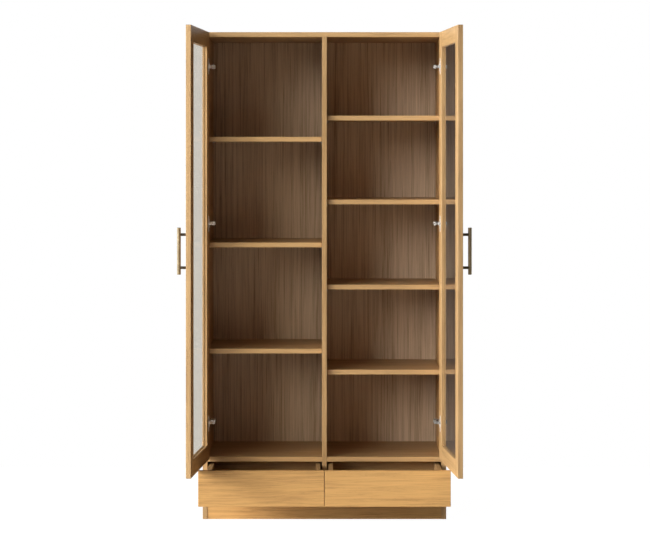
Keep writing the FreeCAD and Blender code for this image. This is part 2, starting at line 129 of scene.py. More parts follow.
class BookcaseFinish(bpy.types.PropertyGroup):
    """Colours of the veneers, glass and metals."""

    oak: FloatVectorProperty(
        name="Oak", description="Main colour of the oak of the carcass and doors",
        subtype="COLOR", size=3, min=0, max=1, default=(0.581, 0.359, 0.156))
    front_oak: FloatVectorProperty(
        name="Drawer front oak", description="Main colour of the oak of the drawer fronts",
        subtype="COLOR", size=3, min=0, max=1, default=(0.649, 0.362, 0.119))
    back_oak: FloatVectorProperty(
        name="Back oak", description="Main colour of the oak of the back panel",
        subtype="COLOR", size=3, min=0, max=1, default=(0.610, 0.450, 0.290))
    box_oak: FloatVectorProperty(
        name="Drawer box oak", description="Main colour of the unlit oak inside the drawers",
        subtype="COLOR", size=3, min=0, max=1, default=(0.415, 0.252, 0.109))
    streak_depth: FloatProperty(
        name="Streaks", description="How far the oak's streaks stand out from its main colour",
        subtype="FACTOR", min=0, max=1, default=0.28)
    # Painted shade: the broad faces of level and upright boards are tinted darker than their edges,
    # for the shade inside the carcass.
    level_face_shade: FloatVectorProperty(
        name="Level faces",
        description="Tint of a level board's broad faces beside its banded edge",
        subtype="COLOR", size=3, min=0, max=1, default=(0.69, 0.66, 0.64))
    upright_face_shade: FloatVectorProperty(
        name="Upright faces",
        description="Tint of an upright board's broad faces beside its banded edge",
        subtype="COLOR", size=3, min=0, max=1, default=(0.718, 0.613, 0.462))
    lacquer: FloatProperty(
        name="Lacquer", description="How strongly the satin lacquer shines",
        subtype="FACTOR", min=0, max=1, default=0.12)
    glass_tint: FloatVectorProperty(
        name="Glass", description="Tint of the panes",
        subtype="COLOR", size=3, min=0, max=1, default=(0.985, 0.96, 0.905))
    glass_clearness: FloatProperty(
        name="Glass clearness",
        description="Share of what is seen aslant that the left, coated pane doesn't mirror",
        subtype="FACTOR", min=0, max=1, default=0.77)
    brass: FloatVectorProperty(
        name="Brass", description="Colour of the handle bars where they are worn",
        subtype="COLOR", size=3, min=0, max=1, default=(0.285, 0.220, 0.122))
    brass_patina: FloatVectorProperty(
        name="Brass patina", description="Colour of the handle bars where they are tarnished",
        subtype="COLOR", size=3, min=0, max=1, default=(0.245, 0.184, 0.100))
    bronze: FloatVectorProperty(
        name="Bronze", description="Colour of the handles' dark posts",
        subtype="COLOR", size=3, min=0, max=1, default=(0.10, 0.072, 0.046))
    # Painted light in part: the nickel is this light so that the left hinges still read bright in the
    # open door's shade.
    nickel: FloatVectorProperty(
        name="Nickel", description="Colour of the hinges",
        subtype="COLOR", size=3, min=0, max=1, default=(0.94, 0.91, 0.87))
    zinc: FloatVectorProperty(
        name="Zinc", description="Colour of pins and screws",
        subtype="COLOR", size=3, min=0, max=1, default=(0.56, 0.57, 0.58))


class BookcaseFittings(bpy.types.PropertyGroup):
    """Sizes of the small fittings."""

    screw_head: FloatProperty(
        name="Screw head", description="Diameter of the hinge and runner screws' heads",
        unit="LENGTH", min=0.004, max=0.012, default=0.0072)
    screw_height: FloatProperty(
        name="Screw head height", description="How far a screw's head stands out",
        unit="LENGTH", min=0.0004, max=0.003, default=0.0013)
    plate_screw_spacing: FloatProperty(
        name="Plate screw spacing", description="Between the two screws of a hinge plate",
        unit="LENGTH", min=0.02, max=0.05, default=0.032)
    cup_screw_spacing: FloatProperty(
        name="Cup screw spacing", description="Between the two screws of a hinge cup",
        unit="LENGTH", min=0.04, max=0.06, default=0.050)
    adjuster_head: FloatProperty(
        name="Adjuster head", description="Diameter of the two screws in a hinge arm",
        unit="LENGTH", min=0.004, max=0.01, default=0.0064)
    runner_screws: IntProperty(
        name="Runner screws", description="How many screws hold each runner to its wall",
        min=2, max=6, default=3)
    bar_round: FloatProperty(
        name="Bar end", description="Rounding of a handle bar's ends",
        unit="LENGTH", min=0.0002, max=0.003, default=0.0014)
    post_collar: FloatProperty(
        name="Post collar",
        description="How much wider than its post a handle's collar is, all round",
        unit="LENGTH", min=0.0005, max=0.004, default=0.0018)
    post_collar_height: FloatProperty(
        name="Post collar height", description="Height of the collar at a post's foot",
        unit="LENGTH", min=0.0005, max=0.006, default=0.0025)


class BookcaseStage(bpy.types.PropertyGroup):
    """Camera and studio."""

    camera_distance: FloatProperty(
        name="Camera distance", description="From the camera to the bookcase's middle plane",
        unit="LENGTH", min=2, max=20, default=8.355)
    camera_height: FloatProperty(
        name="Camera height", description="Height of the level camera above the floor",
        unit="LENGTH", min=0, max=4, default=1.507)
    camera_lens: FloatProperty(
        name="Lens", description="Focal length of the camera, in millimetres",
        min=20, max=300, default=109.66)
    camera_drop: FloatProperty(
        name="Frame shift",
        description="How far the level camera's frame is shifted down, in frame widths",
        min=0, max=0.5, default=0.18975)
    camera_aside: FloatProperty(
        name="Frame side shift",
        description="How far the camera's frame is shifted sideways, in frame widths",
        min=-0.1, max=0.1, default=0.00085)
    side_power: FloatProperty(
        name="Side light", description="Power of the large soft light low at the left",
        unit="POWER", min=0, max=2000, default=90)
    side_size: FloatProperty(
        name="Side light size", description="Side of the square light",
        unit="LENGTH", min=0.1, max=4, default=1.6)
    side_distance: FloatProperty(
        name="Side light distance", description="From the light to the bookcase",
        unit="LENGTH", min=1, max=10, default=4.0)
    side_turn: FloatProperty(
        name="Side light turn", description="How far left of the front the light stands",
        subtype="ANGLE", unit="ROTATION", default=math.radians(73))
    side_rise: FloatProperty(
        name="Side light rise", description="How high above level the light stands",
        subtype="ANGLE", unit="ROTATION", default=math.radians(2))
    key_brightness: FloatProperty(
        name="Key panel", description="Brightness of the room's bright panel, high at the left",
        min=0, max=40, default=6.3)
    core_brightness: FloatProperty(
        name="Key panel's core",
        description="What the middle of the key panel adds to its brightness",
        min=0, max=200, default=28.0)
    front_brightness: FloatProperty(
        name="Front panel",
        description="Brightness of the panel between the key panel and the front",
        min=0, max=40, default=6.8)
    side_brightness: FloatProperty(
        name="Side panel",
        description="Brightness of the panel beyond the key panel, at the side",
        min=0, max=40, default=6.2)
    low_brightness: FloatProperty(
        name="Low panel", description="Brightness of the room below the key and side panels",
        min=0, max=40, default=3.5)
    rear_brightness: FloatProperty(
        name="Rear panel", description="Brightness of the low panel all along the rear",
        min=0, max=40, default=0.7)
    right_brightness: FloatProperty(
        name="Right panel", description="Brightness of the panel behind the bookcase's right",
        min=0, max=40, default=6.0)
    room_brightness: FloatProperty(
        name="Room", description="Brightness of the rest of the room",
        min=0, max=4, default=0.09)
    behind_left: FloatProperty(
        name="Behind, left",
        description="Brightness of what a pane shows straight behind it to the left",
        min=0, max=4, default=0.9)
    behind_right: FloatProperty(
        name="Behind, right",
        description="Brightness of what a pane shows straight behind it to the right",
        min=0, max=4, default=0.07)
    floor_size: FloatProperty(
        name="Floor", description="Side of the floor",
        unit="LENGTH", min=2, max=40, default=9.0)
    floor_behind: FloatProperty(
        name="Floor behind", description="How far the floor reaches behind the bookcase's middle",
        unit="LENGTH", min=0.3, max=10, default=1.1)


# ---------------------------------------------------------------- shader helpers

class Value:
    """A shader socket on which plain arithmetic works."""

    def __init__(self, shade, socket):
        self.shade = shade
        self.socket = socket

    def __add__(self, other):
        return self.shade.math("ADD", self, other)

    def __sub__(self, other):
        return self.shade.math("SUBTRACT", self, other)

    def __mul__(self, other):
        return self.shade.math("MULTIPLY", self, other)

    def __radd__(self, other):
        return self.shade.math("ADD", other, self)

    def __rsub__(self, other):
        return self.shade.math("SUBTRACT", other, self)

    def __rmul__(self, other):
        return self.shade.math("MULTIPLY", other, self)


class Shade:
    """Builds one node tree, of a material or of the world."""

    # The sockets of a Mix node that hold its two colours and its mixed colour.
    MIX_COLOURS = (6, 7, 2)

    def __init__(self, owner):
        owner.use_nodes = True
        self.owner = owner
        self.tree = owner.node_tree
        self.tree.nodes.clear()

    def node(self, kind, settings=None, values=None, out=0):
        """Adds a node: its settings first, then its sockets' values or links. Gives one output."""
        made = self.tree.nodes.new(kind)
        for key, setting in (settings or {}).items():
            if key == "stops":
                self.set_stops(made.color_ramp, setting)
            else:
                setattr(made, key, setting)
        for key, value in (values or {}).items():
            if isinstance(value, Value):
                self.tree.links.new(value.socket, made.inputs[key])
            else:
                made.inputs[key].default_value = value
        return Value(self, made.outputs[out]) if made.outputs else None

    def outputs(self, names, kind, values=None):
        """Adds a node and gives its outputs of those names."""
        made = self.node(kind, None, values).socket.node
        return [Value(self, made.outputs[name]) for name in names]

    @staticmethod
    def set_stops(ramp, stops):
        while len(ramp.elements) < len(stops):
            ramp.elements.new(1)
        for element, (position, rgb) in zip(ramp.elements, stops):
            element.position = position
            element.color = colour(rgb)

    def math(self, operation, first, second=0.0):
        return self.node("ShaderNodeMath", {"operation": operation}, {0: first, 1: second})

    def vector(self, operation, first, second, out=0):
        settings = {"operation": operation}
        return self.node("ShaderNodeVectorMath", settings, {0: first, 1: second}, out)

    def mix(self, factor, first, second, blend="MIX"):
        a, b, result = self.MIX_COLOURS
        settings = {"data_type": "RGBA", "blend_type": blend, "clamp_result": False}
        return self.node("ShaderNodeMix", settings, {0: factor, a: first, b: second}, result)

    def place(self, along=None, shift=(0, 0, 0)):
        """Where a point is on its object, with the given direction turned to X, and shifted."""
        place = self.node("ShaderNodeTexCoord", out="Object")
        if along is None:
            return place
        turn = along.rotation_difference(ACROSS).to_euler()
        values = {"Vector": place, "Rotation": turn, "Location": shift}
        return self.node("ShaderNodeMapping", None, values)

    def noise(self, place, scale, detail=2.0, roughness=0.5, out="Fac"):
        values = {"Vector": place, "Scale": scale, "Detail": detail, "Roughness": roughness}
        return self.node("ShaderNodeTexNoise", None, values, out)

    def between(self, value, low, high):
        """0 at low and below, 1 at high and above, smooth between."""
        settings = {"interpolation_type": "SMOOTHSTEP"}
        values = {"Value": value, "From Min": low, "From Max": high}
        return self.node("ShaderNodeMapRange", settings, values)

    def within(self, value, limits, soft):
        """1 between the limits and 0 outside them, with edges that are soft so far to either side."""
        low, high = limits
        above = self.between(value, low - soft, low + soft)
        return above * self.between(value, high + soft, high - soft)

    def bump(self, height, distance, strength):
        values = {"Height": height, "Distance": distance, "Strength": strength}
        return self.node("ShaderNodeBump", None, values)

    def surface(self, values):
        return self.node("ShaderNodeBsdfPrincipled", None, values)

    def finish(self, shader):
        """Links the shader to the output and gives the material or world."""
        kind = "World" if isinstance(self.owner, bpy.types.World) else "Material"
        self.node("ShaderNodeOutput" + kind, None, {"Surface": shader})
        return self.owner


def new_shade(name):
    return Shade(bpy.data.materials.new(name))


def colour(rgb, tone=1):
    """A colour as sockets take it, made darker by a tone."""
    return (*(c * tone for c in rgb), 1)


# ---------------------------------------------------------------- finishes

class Grain(NamedTuple):
    """A layer of the oak's grain: its scale along the board beside that across it, its scale
    across, its detail and roughness, and how strongly it shows."""

    stretch: float
    scale: float
    detail: float
    roughness: float
    share: float


WIDE = Grain(0.22, 9.0, 2.0, 0.5, 0.5)
BANDS = Grain(0.055, 58.0, 3.0, 0.55, 0.75)
LINES = Grain(0.03, 190.0, 2.0, 0.6, 0.75)
FIBRES = Grain(0.015, 640.0, 2.0, 0.6, 0.35)
PORES = Grain(0.03, 1500.0, 1.0, 0.5, 0.4)
# Between these two values of its noise a pore begins, and of the bands' noise it fades out.
PORE_EDGE, PORED_BANDS = (0.60, 0.72), (0.62, 0.36)
# The values of the streaks at their darkest, at the main colour and at their lightest.
STREAK_STOPS = (0.22, 0.50, 0.78)
# How far red, green and blue go from the main colour in the darkest and the lightest streaks.
DARKEST, LIGHTEST = (1.0, 1.15, 1.3), (0.5, 0.62, 0.8)
PORE_TONE = 0.35
# The grain's slow wander from side to side: its stretch, its scale, and its reach in metres.
WANDER_STRETCH, WANDER_SCALE, WANDER_REACH = 0.6, 4.0, 0.022
# How far a board's pattern may be shifted, in metres.
BOARD_SHIFT = 4
# Between these two cosines a face comes to count as one that looks along a direction, and so takes
# the painted shade of a broad or inner face.
LOOKING = (0.5, 0.9)
OAK_ROUGHNESS, PORE_ROUGHNESS, STREAK_ROUGHNESS = 0.48, 0.2, 0.12
LACQUER_ROUGHNESS = 0.32
# How high the fibres stand beside the depth of a pore.
FIBRE_HEIGHT = 0.35


def grain(shade, place, layer, straight=1.0, fineness=1.0):
    """One layer of grain, along X."""
    drawn_out = shade.vector("MULTIPLY", place, (layer.stretch * straight, 1, 1))
    return shade.noise(drawn_out, layer.scale * fineness, layer.detail, layer.roughness)


def wander(shade, place, reach):
    """How far the grain leaves its straight course at a place."""
    drawn_out = shade.vector("MULTIPLY", place, (WANDER_STRETCH, 1, 1))
    course = shade.noise(drawn_out, WANDER_SCALE, out="Color")
    course = shade.vector("SUBTRACT", course, (0.5, 0.5, 0.5))
    return shade.vector("MULTIPLY", course, (0, reach, reach))


def oak(name, along, main, finish, fineness=1.0, straight=1.0, depth=1.0, lacquer=None,
        broad=None, inner=None, tone=1.0):
    """Straight-grained oak veneer of one main colour, with its grain along a direction. The name's
    own shift of the pattern keeps any two boards from matching. Where the direction that the broad
    faces look is given, they get painted shade and are darker than the board's banded edges. So does
    the inner face where its direction is given."""
    shade = new_shade(name)
    dice = random.Random(name)
    shift = [dice.uniform(-BOARD_SHIFT, BOARD_SHIFT) for _ in range(3)]
    place = shade.place(along, shift)
    wavy = shade.vector("ADD", place, wander(shade, place, WANDER_REACH * straight))
    wide = grain(shade, wavy, WIDE, straight)
    bands = grain(shade, wavy, BANDS, straight, fineness)
    lines = grain(shade, wavy, LINES, straight, fineness)
    fibres = grain(shade, wavy, FIBRES)
    pores = shade.between(grain(shade, place, PORES), *PORE_EDGE)

    streak = ((bands - 0.5) * BANDS.share + (wide - 0.5) * WIDE.share
              + (lines - 0.5) * LINES.share + (fibres - 0.5) * FIBRES.share + 0.5)
    depth = finish.streak_depth * depth
    main = [c * tone for c in main]
    dark = [c * (1 - depth * k) for c, k in zip(main, DARKEST)]
    light = [min(c * (1 + depth * k), 1) for c, k in zip(main, LIGHTEST)]
    stops = list(zip(STREAK_STOPS, (dark, main, light)))
    veneer = shade.node("ShaderNodeValToRGB", {"stops": stops}, {"Fac": streak})
    pored = pores * shade.between(bands, *PORED_BANDS)
    veneer = shade.mix(pored * PORES.share, veneer, colour(main, PORE_TONE))
    # Painted shade: faces that look along the broad or inner direction are darkened by a tint.
    if broad or inner:
        normal = shade.node("ShaderNodeTexCoord", out="Normal")
        looking = shade.vector("DOT_PRODUCT", normal, broad or inner, "Value")
        if broad:
            looking = shade.math("ABSOLUTE", looking)
        tint = finish.level_face_shade if broad == UP else finish.upright_face_shade
        shadow = shade.mix(shade.between(looking, *LOOKING), WHITE, colour(tint))
        veneer = shade.mix(1.0, veneer, shadow, "MULTIPLY")
    roughness = OAK_ROUGHNESS + pored * PORE_ROUGHNESS + (0.5 - streak) * STREAK_ROUGHNESS
    return shade.finish(shade.surface({
        "Base Color": veneer,
        "Roughness": roughness,
        "Coat Weight": finish.lacquer if lacquer is None else lacquer,
        "Coat Roughness": LACQUER_ROUGHNESS,
        "Normal": shade.bump(fibres * FIBRE_HEIGHT - pored, distance=0.00012, strength=0.6),
    }))


def pane_glass(name, tint, clearness=0.0):
    """Clear glass. Light for shadows passes straight through it, and so does the share named
    clearness of what is seen aslant, which plain glass would mirror."""
    straight_tone, aslant_from, aslant_to = 0.96, 0.60, 0.84
    shade = new_shade(name)
    glass = shade.surface({
        "Base Color": colour(tint), "Roughness": 0.0, "IOR": 1.5, "Transmission Weight": 1.0})
    values = {"Color": colour(tint, straight_tone)}
    clear = shade.node("ShaderNodeBsdfTransparent", None, values)
    lit = shade.math("MAXIMUM", *shade.outputs(
        ("Is Shadow Ray", "Is Diffuse Ray"), "ShaderNodeLightPath"))
    facing = shade.node("ShaderNodeLayerWeight", None, {"Blend": 0.5}, "Facing")
    aslant = shade.between(facing, aslant_from, aslant_to)
    passing = shade.math("MAXIMUM", lit, aslant * clearness)
    return shade.finish(shade.node("ShaderNodeMixShader", None, {0: passing, 1: glass, 2: clear}))


def drawn_brass(name, base, worn):
    """Brass with fine draw lines upwards, and a slow change from its base to a worn colour."""
    lines_stretch, lines_scale, clouds_scale = 0.02, 2600.0, 55.0
    wear_by_lines, worn_from, worn_to = 0.4, 0.40, 0.66
    roughness, patina_roughness, lines_roughness = 0.55, 0.12, 0.1
    shade = new_shade(name)
    place = shade.place(UP)
    lines = shade.noise(shade.vector("MULTIPLY", place, (lines_stretch, 1, 1)), lines_scale)
    cloud = shade.noise(place, clouds_scale, detail=4.0, roughness=0.6)
    wear = shade.between(cloud + (lines - 0.5) * wear_by_lines, worn_from, worn_to)
    roughness = roughness + (0.5 - wear) * patina_roughness + (lines - 0.5) * lines_roughness
    return shade.finish(shade.surface({
        "Base Color": shade.mix(wear, colour(base), colour(worn)),
        "Metallic": 0.35,
        "Roughness": roughness,
        "Normal": shade.bump(lines, distance=0.00002, strength=0.5),
    }))


def plated(name, base, roughness, metallic=0.9, right_shade=1.0):
    """Plated steel: a soft, slightly cloudy sheen with tiny pits. The pieces at the right are
    darkened by the given factor, a painted shade."""
    clouds_scale, pits_scale, pit_from, pit_to = 140.0, 2400.0, 0.62, 0.74
    cloud_tone, pit_tone, pit_share = 0.86, 0.5, 0.25
    cloud_roughness, pit_roughness, cloud_height, pit_depth = 0.14, 0.1, 0.4, 0.3
    middle = 0.01
    shade = new_shade(name)
    place = shade.place()
    cloud = shade.noise(place, clouds_scale, detail=3.0, roughness=0.6)
    pits = shade.between(shade.noise(place, pits_scale, detail=1.0), pit_from, pit_to)
    tone = shade.mix(cloud, colour(base, cloud_tone), colour(base))
    tone = shade.mix(pits * pit_share, tone, colour(base, pit_tone))
    # Painted shade: right of the middle the colour is darkened by this factor.
    if right_shade < 1:
        x = shade.node("ShaderNodeSeparateXYZ", None, {"Vector": place}, "X")
        right_shaded = shade.mix(1.0, tone, colour([right_shade] * 3), "MULTIPLY")
        tone = shade.mix(shade.between(x, -middle, middle), tone, right_shaded)
    height = cloud * cloud_height - pits * pit_depth
    return shade.finish(shade.surface({
        "Base Color": tone,
        "Metallic": metallic,
        "Roughness": roughness + (cloud - 0.5) * cloud_roughness + pits * pit_roughness,
        "Normal": shade.bump(height, distance=0.00003, strength=0.5),
    }))


# ---------------------------------------------------------------- helpers for pieces

def dress(node, material):
    """Gives a node of the frame its finish."""
    for slot in frame["nodes"][node].material_slots:
        slot.material = material


def dress_boards(boards, main, finish, **looks):
    """Each board has its own length of veneer, with the grain along the given direction."""
    for node, along in boards.items():
        dress(node, oak("oak_" + node, along, main, finish, **looks))


def opened(side):
    """Carries a shut door's piece to where the door stands at rest."""
    joint = next(j for j in frame["joints"] if j["name"] == f"{side}_door_swing")
    axis_point = Matrix.Translation(Vector(joint["pos_m"]))
    turn = Matrix.Rotation(-math.radians(joint["range_deg"][0]), 4, Vector(joint["axis"]))
    return axis_point @ turn @ axis_point.inverted()


def points_of(node, carry=Matrix()):
    """A node's corner points, with carry applied."""
    return [carry @ vertex.co for vertex in frame["nodes"][node].data.vertices]


def box_round(points):
    """The lowest and highest corner of some points."""
    return Vector(map(min, zip(*points))), Vector(map(max, zip(*points)))


def boxes_of(node, carry=Matrix(), side=None):
    """The boxes round a node's solids, which stand well apart in height, from the lowest up. With a
    side given, only those at that side of the middle."""
    points = [p for p in points_of(node, carry) if side is None or p.x * WAY[side] > 0]
    points.sort(key=lambda p: p.z)
    groups = [[points[0]]]
    for point in points[1:]:
        if point.z - groups[-1][-1].z > SOLIDS_APART:
            groups.append([])
        groups[-1].append(point)
    return [box_round(group) for group in groups]


def spaced(middle, spacing):
    """Two heights, so far apart round a middle."""
    return [middle + way * spacing / 2 for way in (-1, 1)]


def begin():
    """Object mode with nothing selected."""
    if bpy.context.object and bpy.context.object.mode != "OBJECT":
        bpy.ops.object.mode_set(mode="OBJECT")
    bpy.ops.object.select_all(action="DESELECT")


def pick(piece):
    """Selects one piece alone and makes it active."""
    begin()
    piece.select_set(True)
    bpy.context.view_layer.objects.active = piece


def edit_faces(piece, test):
    """Enters edit mode with just those faces selected for which test is true."""
    bpy.ops.object.mode_set(mode="EDIT")
    bpy.ops.mesh.select_mode(type="FACE")
    bpy.ops.mesh.select_all(action="DESELECT")
    mesh = bmesh.from_edit_mesh(piece.data)
    for face in mesh.faces:
        face.select_set(test(face))
    bmesh.update_edit_mesh(piece.data)


def leave_edit():
    bpy.ops.object.mode_set(mode="OBJECT")


def cylinder(radius, height, sides=32):
    """A new upright cylinder standing on the origin, active and selected alone."""
    begin()
    bpy.ops.mesh.primitive_cylinder_add(
        vertices=sides, radius=radius, depth=height, location=(0, 0, height / 2))
    bpy.ops.object.transform_apply(location=True, rotation=True, scale=True)
    return bpy.context.object


def smooth(piece):
    pick(piece)
    bpy.ops.object.shade_smooth_by_angle(angle=SMOOTH_ANGLE)


def cross_headed(radius, height):
    """A screw's head with a rounded rim and a cross recess, standing on the origin."""
    head = cylinder(radius, height)
    edit_faces(head, lambda face: face.normal.z > END_FACE)
    bpy.ops.mesh.bevel(offset=height * RIM_ROUND, segments=3, affect="EDGES")
    leave_edit()
    for turn in (0, math.pi / 2):
        begin()
        bpy.ops.mesh.primitive_cube_add(size=1, location=(0, 0, height))
        slot = bpy.context.object
        slot.scale = (radius * CROSS_LENGTH, radius * CROSS_WIDTH, height * CROSS_HEIGHT)
        slot.rotation_euler = (0, 0, turn)
        bpy.ops.object.transform_apply(location=True, rotation=True, scale=True)
        cut = head.modifiers.new("recess", "BOOLEAN")
        cut.operation = "DIFFERENCE"
        cut.object = slot
        pick(head)
        bpy.ops.object.modifier_apply(modifier=cut.name)
        bpy.data.objects.remove(slot)
    smooth(head)
    return head


def turned_to(direction):
    """Turns a piece made upright so that it stands along a direction."""
    return UP.rotation_difference(direction).to_matrix().to_4x4()


def standing(foot, direction):
    """Carries a piece made upright to a foot, from which it stands along a direction."""
    return Matrix.Translation(foot) @ turned_to(direction)


def set_out(pattern, places, name, body, material):
    """Copies a pattern piece to each place, joins the copies and lets them ride on a body."""
    begin()
    copies = []
    for place in places:
        copy = bpy.data.objects.new(name, pattern.data.copy())
        copy.data.transform(place)
        bpy.context.scene.collection.objects.link(copy)
        copy.select_set(True)
        copies.append(copy)
    bpy.context.view_layer.objects.active = copies[0]
    if len(copies) > 1:
        bpy.ops.object.join()
    piece = copies[0]
    piece.name = name
    piece.data.materials.clear()
    piece.data.materials.append(material)
    smooth(piece)
    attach(piece, body)
    return piece


# ---------------------------------------------------------------- operators

class BOOKCASE_OT_carcass(bpy.types.Operator):
    """Veneers the sides, divider, shelves, decks, plinth and back"""

    bl_idname = "bookcase.carcass"
    bl_label = "Finish the carcass"

    def execute(self, context):
        finish = context.scene.bookcase_finish
        level = ["top_panel", "bottom_panel", "left_deck", "right_deck"]
        level += [node for node in frame["nodes"] if "_shelf_" in node]
        plinth = {
            "toe_kick": ACROSS, "plinth_rear_rail": ACROSS, "plinth_centre_rail": BACKWARDS}
        # Painted shade: the left side and the divider are made darker by their tones.
        for node, tone in UPRIGHT_SHADE_TONES.items():
            dress_boards({node: UP}, finish.oak, finish, broad=ACROSS, tone=tone)
        # Painted shade: every board's broad faces are tinted darker than its edges.
        dress_boards(dict.fromkeys(level, ACROSS), finish.oak, finish, broad=UP, **LEVEL_GRAIN)
        dress_boards(plinth, finish.front_oak, finish, tone=PLINTH_TONE)
        dress_boards({"back_panel": UP}, finish.back_oak, finish, lacquer=0.0, **BACK_GRAIN)
        return {"FINISHED"}


class BOOKCASE_OT_doors(bpy.types.Operator):
    """Veneers the door frames and gives them their panes"""

    bl_idname = "bookcase.doors"
    bl_label = "Finish the doors"

    def execute(self, context):
        finish = context.scene.bookcase_finish
        glass = {"left": pane_glass("coated_glass", finish.glass_tint, finish.glass_clearness),
                 "right": pane_glass("clear_glass", finish.glass_tint)}
        for side in SIDES:
            turn = opened(side).to_3x3()
            # Painted shade: the left door's inner face, which looks away from the light, is darkened
            # by the face tint.
            inner = turn @ BACKWARDS if side == "left" else None
            # Painted shade: the left hinge stile is made darker than the right one by its tone.
            parts = {
                "top_rail": (turn @ ACROSS, RAIL_TONE),
                "bottom_rail": (turn @ ACROSS, RAIL_TONE),
                "hinge_stile": (UP, HINGE_STILE_SHADE_TONES[side]),
                "free_stile": (UP, FREE_STILE_TONE),
            }
            for part, (along, tone) in parts.items():
                board = {f"{side}_{part}": along}
                dress_boards(board, finish.oak, finish, tone=tone, inner=inner)
            dress(f"{side}_glass", glass[side])
        return {"FINISHED"}


class BOOKCASE_OT_drawers(bpy.types.Operator):
    """Veneers the drawers' fronts and boxes"""

    bl_idname = "bookcase.drawers"
    bl_label = "Finish the drawers"

    def execute(self, context):
        finish = context.scene.bookcase_finish
        box = {"outer_side": BACKWARDS, "inner_side": BACKWARDS, "back": ACROSS, "bottom": ACROSS}
        for side in SIDES:
            front = {f"{side}_drawer_front": ACROSS}
            dress_boards(front, finish.front_oak, finish, **FRONT_GRAIN)
            boards = {f"{side}_drawer_{part}": along for part, along in box.items()}
            dress_boards(boards, finish.box_oak, finish, lacquer=0.0)
        return {"FINISHED"}


class BOOKCASE_OT_handles(bpy.types.Operator):
    """Makes the brass bars and dark posts of the door handles"""

    bl_idname = "bookcase.handles"
    bl_label = "Make the handles"

    def execute(self, context):
        finish = context.scene.bookcase_finish
        fittings = context.scene.bookcase_fittings
        brass = drawn_brass("aged_brass", finish.brass_patina, finish.brass)
        bronze = plated("dark_bronze", finish.bronze, roughness=0.42)
        for side in SIDES:
            self.bar(side, fittings, brass)
            self.posts(side, fittings, bronze)
        return {"FINISHED"}

    @staticmethod
    def bar(side, fittings, material):
        """A round bar with softened ends."""
        rest = opened(side)
        low, high = box_round(points_of(f"{side}_handle_bar", rest.inverted()))
        radius, length = (high.x - low.x) / 2, high.z - low.z
        pattern = cylinder(radius, length, sides=48)
        edit_faces(pattern, lambda face: abs(face.normal.z) > END_FACE)
        bpy.ops.mesh.bevel(offset=fittings.bar_round, segments=4, affect="EDGES")
        leave_edit()
        foot = Vector(((low.x + high.x) / 2, (low.y + high.y) / 2, low.z))
        place = rest @ Matrix.Translation(foot)
        bar = set_out(pattern, [place], f"{side}_bar", f"{side}_door", material)
        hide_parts(f"{side}_handle_bar")
        bpy.data.objects.remove(pattern)

    @staticmethod
    def posts(side, fittings, material):
        """Two posts from the door's face to the bar, with a collar at the foot."""
        rest = opened(side)
        boxes = boxes_of(f"{side}_handle_posts", rest.inverted())
        low, high = boxes[0]
        radius, reach = (high.x - low.x) / 2, high.y - low.y
        collar, collar_height = fittings.post_collar, fittings.post_collar_height
        pattern = cylinder(radius + collar, collar_height)
        edit_faces(pattern, lambda face: face.normal.z > END_FACE)
        bpy.ops.mesh.inset(thickness=collar / 2)
        bpy.ops.transform.translate(value=(0, 0, collar * COLLAR_CROWN))
        bpy.ops.mesh.inset(thickness=collar / 2)
        bpy.ops.mesh.extrude_region_move(
            TRANSFORM_OT_translate={"value": (0, 0, reach - collar_height)})
        leave_edit()
        places = []
        for low, high in boxes:
            foot = Vector(((low.x + high.x) / 2, high.y, (low.z + high.z) / 2))
            places.append(rest @ standing(foot, -BACKWARDS))
        posts = set_out(pattern, places, f"{side}_posts", f"{side}_door", material)
        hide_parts(f"{side}_handle_posts")
        bpy.data.objects.remove(pattern)


